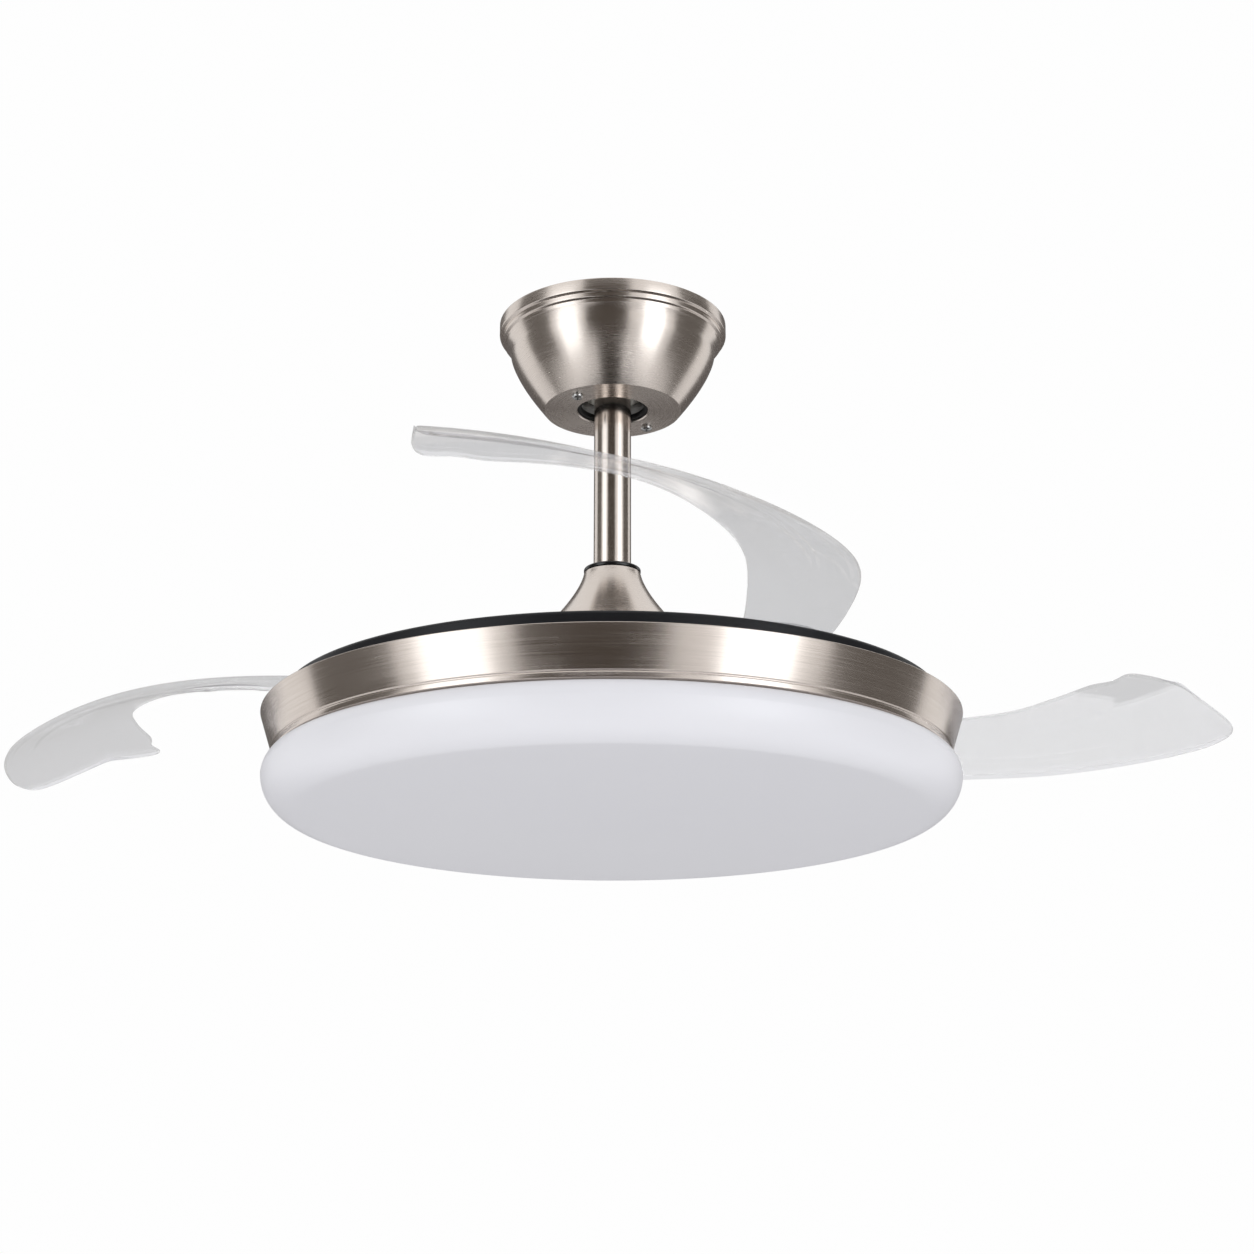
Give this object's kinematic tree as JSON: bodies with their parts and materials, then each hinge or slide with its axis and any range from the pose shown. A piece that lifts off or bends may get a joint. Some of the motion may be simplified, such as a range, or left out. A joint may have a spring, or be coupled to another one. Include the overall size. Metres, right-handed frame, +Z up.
{
  "type": "retractable blade ceiling fan",
  "caption": "Ceiling fan whose clear sickle blades swing in over a black disc when it stops, with a brushed metal canopy, tube and ring and a round opal light below.",
  "frame": {"origin": "where the fan's axis meets the ceiling, on the top face of the bracket's plate", "axes": "+Z up, -Y towards the viewer of the picture, +X to the right in the picture"},
  "size_m": [0.9653, 0.7683, 0.3842],
  "materials": {
    "brushed_nickel": "brushed, warm grey",
    "zinc_steel": "zinc plated",
    "dark_steel": "plain steel, oiled",
    "white_steel": "white powder coat",
    "black_plastic": "satin black",
    "black_rubber": "matt",
    "grey_plastic": "matt",
    "nylon": "natural",
    "clear_plastic": "clear, polished",
    "opal_plastic": "opal, satin",
    "silicon_steel": "plain",
    "copper_wire": "enamelled",
    "ferrite": "matt"
  },
  "bodies": {
    "ceiling": {"ceiling_bracket": "zinc_steel", "canopy": "brushed_nickel", "canopy_gasket": "black_rubber", "canopy_screw_1": "zinc_steel", "canopy_screw_2": "zinc_steel", "receiver": "grey_plastic", "terminal_block": "nylon"},
    "seat": {"ball_seat": "nylon"},
    "hanger": {"hanger_ball": "nylon", "ball_pin": "zinc_steel", "down_tube": "brushed_nickel", "collar": "black_rubber", "bell_cover": "brushed_nickel", "coupling": "dark_steel", "coupling_pin": "zinc_steel", "cotter_pin": "zinc_steel", "motor_shaft": "dark_steel", "stator_core": "silicon_steel", "stator_winding": "copper_wire", "trim_ring": "brushed_nickel", "light_pan": "white_steel", "shaft_nut": "zinc_steel", "led_board": "white_steel", "led_driver": "grey_plastic", "supply_cable": "grey_plastic", "diffuser_clip_1": "zinc_steel", "diffuser_clip_2": "zinc_steel", "diffuser_clip_3": "zinc_steel"},
    "rotor": {"upper_bearing": "dark_steel", "lower_bearing": "dark_steel", "rotor_shell": "silicon_steel", "rotor_lid": "silicon_steel", "magnet_ring": "ferrite", "blade_plate": "black_plastic", "plate_screw_1": "zinc_steel", "plate_screw_2": "zinc_steel", "plate_screw_3": "zinc_steel", "pivot_block_1": "nylon", "pivot_block_2": "nylon", "pivot_block_3": "nylon", "swing_stop_1": "black_rubber", "swing_stop_2": "black_rubber", "swing_stop_3": "black_rubber", "return_spring_1": "dark_steel", "return_spring_2": "dark_steel", "return_spring_3": "dark_steel"},
    "light_cover": {"diffuser": "opal_plastic"},
    "blade_arm_1": {"blade_1": "clear_plastic", "pivot_pin_1": "zinc_steel", "spring_lever_1": "zinc_steel", "lever_screw_1": "zinc_steel"},
    "blade_arm_2": {"blade_2": "clear_plastic", "pivot_pin_2": "zinc_steel", "spring_lever_2": "zinc_steel", "lever_screw_2": "zinc_steel"},
    "blade_arm_3": {"blade_3": "clear_plastic", "pivot_pin_3": "zinc_steel", "spring_lever_3": "zinc_steel", "lever_screw_3": "zinc_steel"}
  },
  "joints": [
    {"name": "tilt_x", "type": "hinge", "parent": "ceiling", "child": "seat", "pos_m": [0, 0, -0.044], "axis": [1, 0, 0], "range_deg": [-12, 12]},
    {"name": "tilt_y", "type": "hinge", "parent": "seat", "child": "hanger", "pos_m": [0, 0, -0.044], "axis": [0, 1, 0], "range_deg": [-12, 12]},
    {"name": "spin", "type": "hinge", "parent": "hanger", "child": "rotor", "pos_m": [0, 0, -0.3137], "axis": [0, 0, 1], "continuous": true},
    {"name": "fold_1", "type": "hinge", "parent": "rotor", "child": "blade_arm_1", "pos_m": [0.10714, -0.13963, -0.3017], "axis": [0.0313, -0.072, 0.9969], "range_deg": [-98, 17], "stiffness_Nm_per_rad": 0.03, "springref_deg": -158},
    {"name": "fold_2", "type": "hinge", "parent": "rotor", "child": "blade_arm_2", "pos_m": [-0.17449, -0.02297, -0.3017], "axis": [-0.078, 0.0089, 0.9969], "range_deg": [-113.4, 1.6], "stiffness_Nm_per_rad": 0.03, "springref_deg": -173.4},
    {"name": "fold_3", "type": "hinge", "parent": "rotor", "child": "blade_arm_3", "pos_m": [0.06735, 0.1626, -0.3017], "axis": [0.0467, 0.0631, 0.9969], "range_deg": [-87.2, 27.8], "stiffness_Nm_per_rad": 0.03, "springref_deg": -147.2},
    {"name": "cover_twist", "type": "hinge", "parent": "hanger", "child": "light_cover", "pos_m": [0, 0, -0.3637], "axis": [0, 0, 1], "range_deg": [0, 12]}
  ]
}
